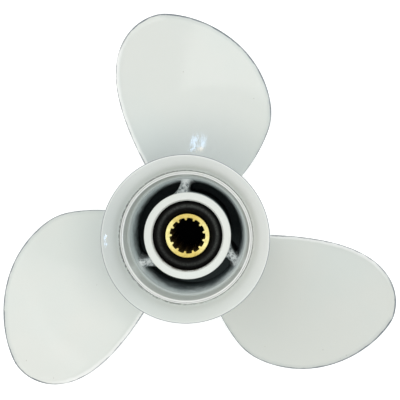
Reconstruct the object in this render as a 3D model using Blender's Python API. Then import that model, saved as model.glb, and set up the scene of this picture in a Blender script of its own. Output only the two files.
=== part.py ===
"""Three-blade outboard boat propeller with a through-hub exhaust and a rubber-cushioned splined hub.

Metres, +Z up. The propeller's axis is Z. The front end, which meets the gearcase, stands on z = 0, and
the aft end points up.
"""

import math

import bmesh
import bpy

# Overall sizes
PROP_RADIUS = 0.14445
PITCH = 0.3048
HUB_LENGTH = 0.105
BLADE_COUNT = 3
BLADE_PHASE = math.radians(93.6)
GAP = 0.0003

# Outer barrel, which the blades stand on
BARREL_RADIUS = 0.0435
FRONT_BORE = 0.0385
WAIST_Z = 0.0540
WAIST_RADIUS = 0.0334
THROAT_Z = 0.0786
THROAT_RADIUS = 0.0374
SPIGOT_Z = 0.0853
SPIGOT_RADIUS = 0.0418
LIP_Z = 0.0924
LIP_BORE = 0.0399

# Diffuser ring, fitted over the barrel's spigot
SEAM_Z = 0.0913
FLARE_START = (0.0423, 0.0917)
FLARE_BOW = 0.0012
FLARE_FOOT_Z = 0.0870
RIM_OUTER_RADIUS = 0.0526
RIM_EDGE_RADIUS = 0.0007

# Inner barrel, which holds the rubber bush
INNER_FRONT_Z = 0.0040
INNER_AFT_Z = 0.0780
INNER_FRONT_RADIUS = 0.0268
INNER_AFT_RADIUS = 0.0279
BUSH_BORE = 0.0225
RECESS_BORE = 0.0240
RECESS_Z = 0.0120

# Splined sleeve
SLEEVE_FRONT_Z = 0.0100
SLEEVE_AFT_Z = 0.0770
SLEEVE_RADIUS = 0.01415
SPLINE_COUNT = 13
SPLINE_ROOT = 0.0114
SPLINE_TIP = 0.0099
SPLINE_PHASE = math.radians(81.5)

# Rubber bush
BUSH_FRONT_Z = 0.0140
BUSH_CREST_Z = 0.0768
BUSH_CREST_RADIUS = 0.0187
BUSH_INNER_DROP = 0.0028
BUSH_OUTER_DROP = 0.0036

# Ribs between the barrels
RIB_FRONT_Z = 0.0070
RIB_AFT_Z = 0.0720
RIB_THICKNESS = 0.0054
RIB_FILLET = 0.0022
RIB_LEAN = math.radians(7.0)
RIB_END_BEVEL = 0.0012

# Blades
BLADE_REFERENCE_Z = 0.0555
BLADE_FILLET = 0.0070
EDGE_RADIUS = 0.0011
ROOT_THICKNESS = 0.0125
TIP_THICKNESS = 0.0026
THICKNESS_POWER = 1.3
CAMBER_POWER = 1.15
CUP_WIDTH = 0.0050
CUP_HEIGHT = 0.0010
HALF_SPAN = math.radians(38.4)
HALF_SPAN_POWERS = (2.87, 0.636)
SKEW_ROOT = math.radians(-10.6)
SKEW_CHANGE = math.radians(13.95)
SKEW_POWER = 3.34
SHOULDER_ANGLE = math.radians(0.9)
SHOULDER_RADIUS = 0.0931
SHOULDER_WIDTH = 0.0132

# Mesh fineness
TURN_STEPS = 60
POINTS_PER_SPLINE = 8
CHORD_STEPS = 14
CHORD_CROWDING = 0.3
BLADE_STATIONS = 11
SMOOTH_ANGLE = math.radians(32)

# Colour, roughness and metallic value of each piece
PAINT = ((0.72, 0.74, 0.71), 0.28, 0.0)
ROUGH_CASTING = ((0.42, 0.43, 0.42), 0.65, 0.0)
RUBBER = ((0.020, 0.020, 0.021), 0.50, 0.0)
BRASS = ((0.80, 0.58, 0.24), 0.32, 1.0)


def clear_scene():
    for obj in list(bpy.data.objects):
        bpy.data.objects.remove(obj)


def add_material(obj, look):
    colour, roughness, metallic = look
    material = bpy.data.materials.new(obj.name)
    material.use_nodes = True
    shader = material.node_tree.nodes["Principled BSDF"]
    shader.inputs["Base Color"].default_value = (*colour, 1.0)
    shader.inputs["Roughness"].default_value = roughness
    shader.inputs["Metallic"].default_value = metallic
    obj.data.materials.append(material)


def add_solid(name, build, look, parent):
    """One named object. The function build fills its bmesh."""
    bm = bmesh.new()
    build(bm)
    bmesh.ops.remove_doubles(bm, verts=bm.verts, dist=1e-6)
    bmesh.ops.recalc_face_normals(bm, faces=bm.faces)
    mesh = bpy.data.meshes.new(name)
    bm.to_mesh(mesh)
    bm.free()
    mesh.shade_smooth()
    mesh.set_sharp_from_angle(angle=SMOOTH_ANGLE)
    obj = bpy.data.objects.new(name, mesh)
    bpy.context.scene.collection.objects.link(obj)
    obj.parent = parent
    add_material(obj, look)


def add_axis_empty(name):
    """An empty on the propeller's axis, which a moving group turns about."""
    empty = bpy.data.objects.new(name, None)
    bpy.context.scene.collection.objects.link(empty)
    return empty


# Shape helpers. A profile is a list of (r, z) points. A loop is a list of (r, angle, z) points.


def polar(radius, angle, z):
    return (radius * math.cos(angle), radius * math.sin(angle), z)


def arc(centre, radius, start, end, steps):
    """Points of an arc between two angles in degrees, measured from the +r direction towards +z."""
    points = []
    for i in range(steps + 1):
        angle = math.radians(start + (end - start) * i / steps)
        points.append((centre[0] + radius * math.cos(angle), centre[1] + radius * math.sin(angle)))
    return points


def bowed(start, end, bow, steps):
    """Points of a shallow curve from start to end, its middle off the chord to the left by bow."""
    run, rise = end[0] - start[0], end[1] - start[1]
    length = math.hypot(run, rise)
    points = []
    for i in range(steps + 1):
        share = i / steps
        offset = 4 * bow * share * (1 - share)
        points.append(
            (
                start[0] + run * share - rise / length * offset,
                start[1] + rise * share + run / length * offset,
            )
        )
    return points


def turned(profile):
    """A closed profile, turned round Z."""

    def build(bm):
        section = [bm.verts.new((r, 0.0, z)) for r, z in profile]
        edges = [bm.edges.new(pair) for pair in zip(section, section[1:] + section[:1])]
        bmesh.ops.spin(
            bm,
            geom=section + edges,
            cent=(0, 0, 0),
            axis=(0, 0, 1),
            angle=2 * math.pi,
            steps=TURN_STEPS,
            use_merge=True,
        )

    return build


def bridge(bm, lower, upper):
    """Faces between two closed rings of vertices."""
    for i in range(len(lower)):
        j = (i + 1) % len(lower)
        bm.faces.new((lower[i], lower[j], upper[j], upper[i]))


def cap(bm, ring, loop, radius_at, rows):
    """Closes a loop by rows of faces from its first half across to its second half, on a round wall."""
    half = len(loop) // 2
    near, far = loop[:half], loop[half:][::-1]
    grid = [ring[:half]]
    for row in range(1, rows):
        share = row / rows
        line = []
        for a, b in zip(near, far):
            angle = a[1] + (b[1] - a[1]) * share
            z = a[2] + (b[2] - a[2]) * share
            line.append(bm.verts.new(polar(radius_at(z), angle, z)))
        grid.append(line)
    grid.append(ring[half:][::-1])
    for below, above in zip(grid, grid[1:]):
        for i in range(half - 1):
            bm.faces.new((below[i], below[i + 1], above[i + 1], above[i]))
    if rows > 1:
        bm.faces.new([line[0] for line in grid])
        bm.faces.new([line[-1] for line in grid])


def lofted(loops, foot_radius, foot_rows, head_radius, head_rows):
    """A solid through closed loops. foot_radius and head_radius give the end walls' radius at a height."""

    def build(bm):
        rings = [[bm.verts.new(polar(*point)) for point in loop] for loop in loops]
        for lower, upper in zip(rings, rings[1:]):
            bridge(bm, lower, upper)
        cap(bm, rings[0], loops[0], foot_radius, foot_rows)
        cap(bm, rings[-1], loops[-1], head_radius, head_rows)

    return build


def fillet_growth(distance, radius):
    """How far a fillet widens a wall at a distance from the face that it runs into."""
    if distance >= radius:
        return 0.0
    return radius - math.sqrt(radius**2 - (radius - distance) ** 2)


# Outer barrel and diffuser ring


def barrel_bore(z):
    """Radius of the outer barrel's inner wall up to its throat: two cones that meet at the waist."""
    if z < WAIST_Z:
        return FRONT_BORE + (WAIST_RADIUS - FRONT_BORE) * z / WAIST_Z
    share = (z - WAIST_Z) / (THROAT_Z - WAIST_Z)
    return WAIST_RADIUS + (THROAT_RADIUS - WAIST_RADIUS) * share


def outer_barrel_profile():
    """A bore drafted from both ends to a waist, then beyond its throat a wide cone to a rounded lip."""
    chamfer = 0.0008
    lip_radius = (SPIGOT_RADIUS - LIP_BORE) / 2
    lip_centre = (LIP_BORE + lip_radius, LIP_Z - lip_radius)
    outside = [
        (FRONT_BORE, 0.0),
        (BARREL_RADIUS - chamfer, 0.0),
        (BARREL_RADIUS, chamfer),
        (BARREL_RADIUS, SPIGOT_Z - GAP),
        (SPIGOT_RADIUS, SPIGOT_Z - GAP),
    ]
    inside = [(THROAT_RADIUS, THROAT_Z), (WAIST_RADIUS, WAIST_Z)]
    return outside + arc(lip_centre, lip_radius, 0, 180, 5) + inside


def diffuser_ring_profile():
    """A collar flush with the barrel, flared into a trumpet with a rounded rim."""
    bore = SPIGOT_RADIUS + GAP
    rim_centre = (RIM_OUTER_RADIUS - RIM_EDGE_RADIUS, HUB_LENGTH - RIM_EDGE_RADIUS)
    rim = arc(rim_centre, RIM_EDGE_RADIUS, 128, -38, 5)
    inner_flare = bowed(FLARE_START, rim[0], FLARE_BOW, 5)
    outer_flare = bowed(rim[-1], (BARREL_RADIUS, FLARE_FOOT_Z), -FLARE_BOW, 4)
    seat = [(BARREL_RADIUS, SPIGOT_Z), (bore, SPIGOT_Z), (bore, SEAM_Z)]
    return seat + inner_flare[:-1] + rim + outer_flare[1:]


# Inner barrel, bush and sleeve


def inner_barrel_radius(z):
    share = (z - INNER_FRONT_Z) / (INNER_AFT_Z - INNER_FRONT_Z)
    return INNER_FRONT_RADIUS + (INNER_AFT_RADIUS - INNER_FRONT_RADIUS) * share


def inner_barrel_profile():
    """A drafted tube with a flat aft face and a washer recess at its front."""
    chamfer = 0.0005
    return [
        (RECESS_BORE, INNER_FRONT_Z),
        (INNER_FRONT_RADIUS, INNER_FRONT_Z),
        (INNER_AFT_RADIUS, INNER_AFT_Z - chamfer),
        (INNER_AFT_RADIUS - chamfer, INNER_AFT_Z),
        (BUSH_BORE + 2 * chamfer, INNER_AFT_Z),
        (BUSH_BORE, INNER_AFT_Z - 3 * chamfer),
        (BUSH_BORE, RECESS_Z),
        (RECESS_BORE, RECESS_Z - 2 * chamfer),
    ]


def rubber_bush_profile():
    """A thick tube whose aft end is rolled, highest between the sleeve and the barrel."""
    inner = SLEEVE_RADIUS + GAP
    outer = BUSH_BORE - GAP
    bevel = 0.0015
    steps = 6
    rolled = []
    for i in range(steps + 1):
        radius = inner + (outer - inner) * i / steps
        from_crest = radius - BUSH_CREST_RADIUS
        if from_crest < 0:
            drop = BUSH_INNER_DROP * (from_crest / (BUSH_CREST_RADIUS - inner)) ** 2
        else:
            drop = BUSH_OUTER_DROP * (from_crest / (outer - BUSH_CREST_RADIUS)) ** 2
        rolled.append((radius, BUSH_CREST_Z - drop))
    front = [
        (outer, BUSH_FRONT_Z + bevel),
        (outer - bevel, BUSH_FRONT_Z),
        (inner + bevel, BUSH_FRONT_Z),
        (inner, BUSH_FRONT_Z + bevel),
    ]
    return rolled + front


def spline_radius(index):
    """Bore radius at a point of the spline pattern: teeth point in, with wider grooves between them."""
    from_groove = index % POINTS_PER_SPLINE
    from_groove = min(from_groove, POINTS_PER_SPLINE - from_groove)
    return SPLINE_ROOT if from_groove <= POINTS_PER_SPLINE // 4 else SPLINE_TIP


def build_sleeve(bm):
    """A round tube with straight splines along its bore and a lead-in at its front."""
    count = SPLINE_COUNT * POINTS_PER_SPLINE
    chamfer = 0.0004
    mouth = SPLINE_ROOT + 0.0002
    lead_in = 0.0012

    def ring(radius_of, z):
        angles = [SPLINE_PHASE + 2 * math.pi * i / count for i in range(count)]
        return [bm.verts.new(polar(radius_of(i), angles[i], z)) for i in range(count)]

    rings = [
        ring(lambda i: mouth, SLEEVE_FRONT_Z),
        ring(lambda i: SLEEVE_RADIUS - chamfer, SLEEVE_FRONT_Z),
        ring(lambda i: SLEEVE_RADIUS, SLEEVE_FRONT_Z + chamfer),
        ring(lambda i: SLEEVE_RADIUS, SLEEVE_AFT_Z - chamfer),
        ring(lambda i: SLEEVE_RADIUS - chamfer, SLEEVE_AFT_Z),
        ring(spline_radius, SLEEVE_AFT_Z),
        ring(spline_radius, SLEEVE_FRONT_Z + lead_in),
    ]
    for lower, upper in zip(rings, rings[1:] + rings[:1]):
        bridge(bm, lower, upper)


# Ribs


def rib_foot_radius(z):
    return inner_barrel_radius(z) + GAP


def rib_head_radius(z):
    return barrel_bore(z) - GAP


def rib_loops(base_angle):
    """Sections of a rib from the inner barrel out to the outer barrel, with a fillet at both."""
    front, aft = RIB_FRONT_Z + RIB_END_BEVEL, RIB_AFT_Z - RIB_END_BEVEL
    to_waist = [front + (WAIST_Z - front) * i / 3 for i in range(3)]
    from_waist = [WAIST_Z + (aft - WAIST_Z) * i / 2 for i in range(3)]
    heights = [RIB_FRONT_Z, *to_waist, *from_waist, RIB_AFT_Z]
    loops = []
    for share in (0.0, 0.08, 0.22, 0.5, 0.78, 0.92, 1.0):
        near, far = [], []
        for z in heights:
            foot, head = rib_foot_radius(z), rib_head_radius(z)
            radius = foot + (head - foot) * share
            to_wall = min(radius - foot, head - radius) + GAP
            half = RIB_THICKNESS / 2 + fillet_growth(to_wall, RIB_FILLET)
            if z in (RIB_FRONT_Z, RIB_AFT_Z):
                half -= RIB_END_BEVEL
            centre = base_angle + RIB_LEAN * (0.5 - share)
            near.append((radius, centre - half / radius, z))
            far.append((radius, centre + half / radius, z))
        loops.append(near + far[::-1])
    return loops


# Blades


def outline_angles(radius):
    """Angles of the leading and trailing edge at a radius, from the blade's reference line.

    The leading edge swells a little at its shoulder.
    """
    share = min(radius / PROP_RADIUS, 1.0)
    inner_power, outer_power = HALF_SPAN_POWERS
    half = HALF_SPAN * (1 - share**inner_power) ** outer_power
    middle = SKEW_ROOT + SKEW_CHANGE * share**SKEW_POWER
    shoulder = SHOULDER_ANGLE * math.exp(-(((radius - SHOULDER_RADIUS) / SHOULDER_WIDTH) ** 2))
    return middle - half - shoulder, middle + half


def nose_length(radius, end, slope, edge):
    """Length along the section of an edge's rounding, longer where the outline runs across it."""
    step = 1e-5
    change = (outline_angles(radius)[end] - outline_angles(radius - step)[end]) / step
    return edge * math.hypot(1, slope * change)


def section_thickness(radius):
    share = (PROP_RADIUS - radius) / (PROP_RADIUS - BARREL_RADIUS)
    return TIP_THICKNESS + (ROOT_THICKNESS - TIP_THICKNESS) * max(share, 0.0) ** THICKNESS_POWER


def flat_section(radius):
    """A section laid flat as (along, height) points: pressure face out and back, then the loop's far half.

    The pressure face is the helix itself, with a slight cup at the trailing edge. The back bulges away
    from it, and both edges are rounded.
    """
    lead = PITCH / (2 * math.pi)
    slope = math.hypot(radius, lead)
    start, end = outline_angles(radius)
    chord = (end - start) * slope
    to_tip = PROP_RADIUS - radius
    edge = EDGE_RADIUS if to_tip > EDGE_RADIUS else math.sqrt(
        EDGE_RADIUS**2 - (EDGE_RADIUS - to_tip) ** 2
    )
    noses = [min(nose_length(radius, side, slope, edge), 0.4 * chord) for side in (0, 1)]
    bulge = max(section_thickness(radius) - 2 * EDGE_RADIUS, 0.0)
    bulge *= min(to_tip / (6 * EDGE_RADIUS), 1.0)
    leading = [(noses[0] * (1 - math.cos(a)), math.sin(a)) for a in (0.25, 0.9)]
    trailing = [(chord - noses[1] * (1 - math.cos(a)), math.sin(a)) for a in (0.9, 0.25)]
    flat = chord - noses[0] - noses[1]
    middle = []
    for i in range(CHORD_STEPS + 1):
        turn = 2 * math.pi * i / CHORD_STEPS
        share = (turn - CHORD_CROWDING * math.sin(turn)) / (2 * math.pi)
        middle.append((noses[0] + flat * share, 1.0))
    near, far = [], []
    for along, opening in leading + middle + trailing:
        camber = bulge * math.sin(math.pi * along / chord) ** CAMBER_POWER
        into_cup = max(along - (chord - CUP_WIDTH), 0.0) / CUP_WIDTH
        cup = CUP_HEIGHT * into_cup**2 * min(chord / (6 * CUP_WIDTH), 1.0)
        near.append((along, cup - EDGE_RADIUS + edge * opening))
        far.append((along, cup - EDGE_RADIUS - edge * opening - camber))
    return near + far[::-1], start, slope


def grown_outwards(points, growth):
    """The closed loop of flat points, moved out square to itself."""
    count = len(points)
    moved = []
    for i in range(count):
        before, after = points[i - 1], points[(i + 1) % count]
        run, rise = after[0] - before[0], after[1] - before[1]
        length = math.hypot(run, rise)
        moved.append(
            (points[i][0] - rise / length * growth, points[i][1] + run / length * growth)
        )
    return moved


def blade_loop(radius, base_angle):
    """The section at a radius, wrapped on its cylinder and widened by the root fillet."""
    lead = PITCH / (2 * math.pi)
    points, start, slope = flat_section(radius)
    growth = fillet_growth(radius - BARREL_RADIUS, BLADE_FILLET)
    if growth:
        points = grown_outwards(points, growth)
    loop = []
    for along, height in points:
        turn = start + along / slope
        angle = base_angle + turn - height * lead / (radius * slope)
        z = BLADE_REFERENCE_Z + lead * turn + height * radius / slope
        loop.append((radius, angle, z))
    return loop


def blade_radii():
    """Stations from the barrel to the tip, closer together in the root fillet and at the tip."""
    foot = BARREL_RADIUS + GAP
    blade_start = BARREL_RADIUS + BLADE_FILLET
    last = PROP_RADIUS - EDGE_RADIUS
    spread = [math.sin(math.pi / 2 * i / BLADE_STATIONS) for i in range(BLADE_STATIONS + 1)]
    radii = [foot, foot + 0.0009, foot + 0.0026]
    radii += [blade_start + (last - blade_start) * share for share in spread]
    return radii + [PROP_RADIUS - 0.0004, PROP_RADIUS - 0.00005]


def blade_foot_radius(z):
    return BARREL_RADIUS + GAP


# The assembly


def add_casting(casting):
    add_solid("outer_barrel", turned(outer_barrel_profile()), PAINT, casting)
    add_solid("diffuser_ring", turned(diffuser_ring_profile()), PAINT, casting)
    add_solid("inner_barrel", turned(inner_barrel_profile()), PAINT, casting)
    for i in range(BLADE_COUNT):
        base_angle = BLADE_PHASE + 2 * math.pi * i / BLADE_COUNT
        rib = lofted(rib_loops(base_angle), rib_foot_radius, 4, rib_head_radius, 3)
        add_solid(f"rib_{i + 1}", rib, ROUGH_CASTING, casting)
        sections = [blade_loop(radius, base_angle) for radius in blade_radii()]
        blade = lofted(sections, blade_foot_radius, 5, None, 1)
        add_solid(f"blade_{i + 1}", blade, PAINT, casting)


def main():
    clear_scene()
    sleeve = add_axis_empty("shaft_sleeve")
    bush = add_axis_empty("cushion")
    casting = add_axis_empty("casting")
    bush.parent = sleeve
    casting.parent = bush
    add_solid("splined_sleeve", build_sleeve, BRASS, sleeve)
    add_solid("rubber_bush", turned(rubber_bush_profile()), RUBBER, bush)
    add_casting(casting)


main()
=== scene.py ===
"""The looks of the boat propeller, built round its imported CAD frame.

Metres, +Z up, the propeller's axis on Z and its aft end up. Every CAD node is replaced by a finer
piece of the same shape and size, with rounded corners, fillets and procedural materials.
"""

import math

import bmesh
import bpy
import numpy as np
from mathutils import Matrix, Vector, noise


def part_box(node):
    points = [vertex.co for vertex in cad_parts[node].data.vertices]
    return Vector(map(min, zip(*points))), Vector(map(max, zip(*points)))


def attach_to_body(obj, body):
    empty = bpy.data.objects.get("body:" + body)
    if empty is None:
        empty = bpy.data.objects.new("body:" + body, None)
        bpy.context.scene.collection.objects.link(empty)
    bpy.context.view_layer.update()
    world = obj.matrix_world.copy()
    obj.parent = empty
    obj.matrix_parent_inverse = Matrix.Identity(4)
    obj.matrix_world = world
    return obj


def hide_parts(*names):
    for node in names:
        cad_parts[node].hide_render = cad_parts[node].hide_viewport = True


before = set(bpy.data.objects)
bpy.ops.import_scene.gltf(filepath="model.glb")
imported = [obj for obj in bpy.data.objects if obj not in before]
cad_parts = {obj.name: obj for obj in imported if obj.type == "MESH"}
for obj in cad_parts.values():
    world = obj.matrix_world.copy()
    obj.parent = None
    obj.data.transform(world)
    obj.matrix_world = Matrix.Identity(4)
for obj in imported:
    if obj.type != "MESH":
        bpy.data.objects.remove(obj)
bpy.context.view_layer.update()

# The whole propeller
PROP_RADIUS = 0.14430
PITCH = 0.3048
LEAD = PITCH / (2 * math.pi)
BLADE_COUNT = 3
BLADE_PHASE = math.radians(93.6)

# Outer barrel, from its front end to the lip at its aft end
BARREL_RADIUS = 0.0435
FRONT_BORE = 0.0385
WAIST_Z = 0.0540
WAIST_RADIUS = 0.0334
THROAT_Z = 0.0786
THROAT_RADIUS = 0.0374
SPIGOT_Z = 0.0853
LIP_Z = 0.0924
LIP_BORE = 0.0399

# Diffuser ring, which sits on the barrel's spigot
RING_BORE = 0.0421
SEAM_GAP = 0.00015
SEAM_Z = 0.0913
FLARE_START = (0.0423, 0.0917)
FLARE_BOW = 0.0012
FLARE_FOOT_Z = 0.0870
RIM_OUTER_RADIUS = 0.0526
RIM_EDGE_RADIUS = 0.0007
RIM_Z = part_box("diffuser_ring")[1].z

# Inner barrel, which holds the bush
INNER_FRONT_Z = 0.0040
INNER_AFT_Z = 0.0780
INNER_FRONT_RADIUS = 0.0268
INNER_AFT_RADIUS = 0.0279
BUSH_BORE = 0.0225
RECESS_BORE = 0.0240
RECESS_Z = 0.0120

# Splined sleeve
SLEEVE_FRONT_Z = 0.0100
SLEEVE_AFT_Z = 0.0770
SLEEVE_RADIUS = 0.01415
SLEEVE_EDGE = 0.00035
SPLINE_COUNT = 13
SPLINE_ROOT = 0.0114
SPLINE_TIP = 0.0099
SPLINE_PHASE = math.radians(81.5)
SPLINE_ROOT_FILLET = 0.00012
SPLINE_TIP_BEVEL = 0.00015

# Rubber bush
BUSH_GAP = 0.0002
BUSH_FRONT_Z = 0.0140
BUSH_CREST_Z = 0.0768
BUSH_CREST_RADIUS = 0.0187
BUSH_INNER_DROP = 0.0028
BUSH_OUTER_DROP = 0.0036
BUSH_END_RADIUS = 0.0015

# Ribs between the barrels
RIB_FRONT_Z = 0.0070
RIB_AFT_Z = 0.0720
RIB_THICKNESS = 0.0054
RIB_FILLET = 0.0024
RIB_OVERLAP = 0.0003
RIB_FOOT = 0.0026
RIB_FOOT_REACH = 0.0075
RIB_LEAN = math.radians(7.0)
RIB_LUMPS = ((320.0, 0.00030), (900.0, 0.00010))

# Blades
BLADE_REFERENCE_Z = 0.0555
BLADE_FILLET = 0.0070
BLADE_OVERLAP = 0.0006
EDGE_RADIUS = 0.0011
TRAILING_ROUND = 1.9
ROOT_THICKNESS = 0.0125
TIP_THICKNESS = 0.0026
THICKNESS_POWER = 1.3
CAMBER_POWER = 1.15
CUP_WIDTH = 0.0050
CUP_HEIGHT = 0.0010
HALF_SPAN = math.radians(38.4)
HALF_SPAN_POWERS = (2.87, 0.636)
SKEW_ROOT = math.radians(-10.6)
SKEW_CHANGE = math.radians(13.95)
SKEW_POWER = 3.34
SHOULDER_ANGLE = math.radians(0.9)
SHOULDER_RADIUS = 0.0931
SHOULDER_WIDTH = 0.0132

# The studio
FLOOR_HALF = 6.0
FLOOR_Z = -0.0004
PAD_RADIUS = 0.0415
PAD_Z = -0.0002
PAD_GLOW_SIDE = math.radians(275)
ABOVE_HUB = (0.0, 0.0, 0.06)
GLINT_PLACE = (0.006, 0.058, 0.057)
CAMERA_PLACE = (0.0439, 0.0650, 0.8999)
CAMERA_FORWARD = (-0.0434, -0.0510, -0.9978)
CAMERA_UP = (-0.0011, 0.9987, -0.0510)
CAMERA_LENS = 116.14

TURN_STEPS = 240
MERGE_DISTANCE = 2e-7
SLIVER_LENGTH = 1e-7


# Meshes


def mesh_object(name, points, faces, materials, face_slots=None, values=None):
    """A smooth mesh object of clean, outward faces. values gives named numbers per point."""
    mesh = bpy.data.meshes.new(name)
    mesh.from_pydata([tuple(map(float, p)) for p in points], [], faces)
    for material in materials:
        mesh.materials.append(material)
    if face_slots is not None:
        mesh.polygons.foreach_set("material_index", face_slots)
    for key, numbers in (values or {}).items():
        mesh.attributes.new(key, "FLOAT", "POINT").data.foreach_set("value", numbers)
    bm = bmesh.new()
    bm.from_mesh(mesh)
    bmesh.ops.remove_doubles(bm, verts=bm.verts, dist=MERGE_DISTANCE)
    bmesh.ops.dissolve_degenerate(bm, edges=bm.edges, dist=SLIVER_LENGTH)
    bmesh.ops.recalc_face_normals(bm, faces=bm.faces)
    bm.to_mesh(mesh)
    bm.free()
    mesh.shade_smooth()
    obj = bpy.data.objects.new(name, mesh)
    bpy.context.scene.collection.objects.link(obj)
    return obj


def rounded(corners, steps=6):
    """A closed (r, z) profile from (r, z, radius) corners, each turned into an arc of that radius.

    A corner with no radius is kept as a point. A short straight lead is left on both sides of each
    arc, so that the flats shade flat.
    """
    lead = 0.2
    points = []
    count = len(corners)
    for i, (r, z, radius) in enumerate(corners):
        here = Vector((r, z))
        if not radius:
            points.append((r, z))
            continue
        before = Vector(corners[i - 1][:2]) - here
        after = Vector(corners[(i + 1) % count][:2]) - here
        before.normalize()
        after.normalize()
        half = before.angle(after) / 2
        reach = radius / math.tan(half)
        centre = here + (before + after).normalized() * (radius / math.sin(half))
        start = here + before * reach
        end = here + after * reach
        points.append(tuple(start + before * radius * lead))
        first = start - centre
        turn = first.angle_signed(end - centre)
        for k in range(steps + 1):
            angle = -turn * k / steps
            c, s = math.cos(angle), math.sin(angle)
            points.append(
                (centre.x + first.x * c - first.y * s, centre.y + first.x * s + first.y * c)
            )
        points.append(tuple(end + after * radius * lead))
    return points


def bowed(start, end, bow, steps):
    """Points of a shallow curve from start to end, its middle off the chord to the left by bow."""
    run, rise = end[0] - start[0], end[1] - start[1]
    length = math.hypot(run, rise)
    points = []
    for i in range(steps + 1):
        share = i / steps
        offset = 4 * bow * share * (1 - share)
        points.append(
            (
                start[0] + run * share - rise / length * offset,
                start[1] + rise * share + run / length * offset,
            )
        )
    return points


def bands(ring_count, size, closed):
    """Quads between neighbouring rings of size points, and from last to first if closed."""
    faces = []
    for i in range(ring_count if closed else ring_count - 1):
        here, there = i * size, (i + 1) % ring_count * size
        for k in range(size):
            m = (k + 1) % size
            faces.append((here + k, here + m, there + m, there + k))
    return faces


def turned(name, profile, materials, slot_of=None):
    """A closed profile turned round Z. slot_of(r, z) gives the material slot of a face there."""
    angles = np.arange(TURN_STEPS) * (2 * math.pi / TURN_STEPS)
    points = [(r * math.cos(a), r * math.sin(a), z) for a in angles for r, z in profile]
    faces = bands(TURN_STEPS, len(profile), True)
    slots = None
    if slot_of:
        ends = zip(profile, profile[1:] + profile[:1])
        slots = [slot_of((a[0] + b[0]) / 2, (a[1] + b[1]) / 2) for a, b in ends] * TURN_STEPS
    return mesh_object(name, points, faces, materials, slots)


def loft(name, rings, materials, values=None):
    """A closed mesh through rings of equal length, its ends closed by strips across each ring."""
    size = len(rings[0])
    points = [p for ring in rings for p in ring]
    faces = bands(len(rings), size, False)
    half = size // 2
    for base in (0, (len(rings) - 1) * size):
        for k in range(half):
            strip = (k, k + 1, (size - k - 1) % size, (size - k) % size)
            unique = list(dict.fromkeys(base + index for index in strip))
            faces.append(tuple(unique))
    return mesh_object(name, points, faces, materials, values=values)


def fillet_growth(distance, radius):
    """How far a round fillet stands out at a distance from the wall that it runs into."""
    if distance >= radius:
        return 0.0
    return radius - math.sqrt(max(radius**2 - (radius - max(distance, 0.0)) ** 2, 0.0))


# Materials


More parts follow.
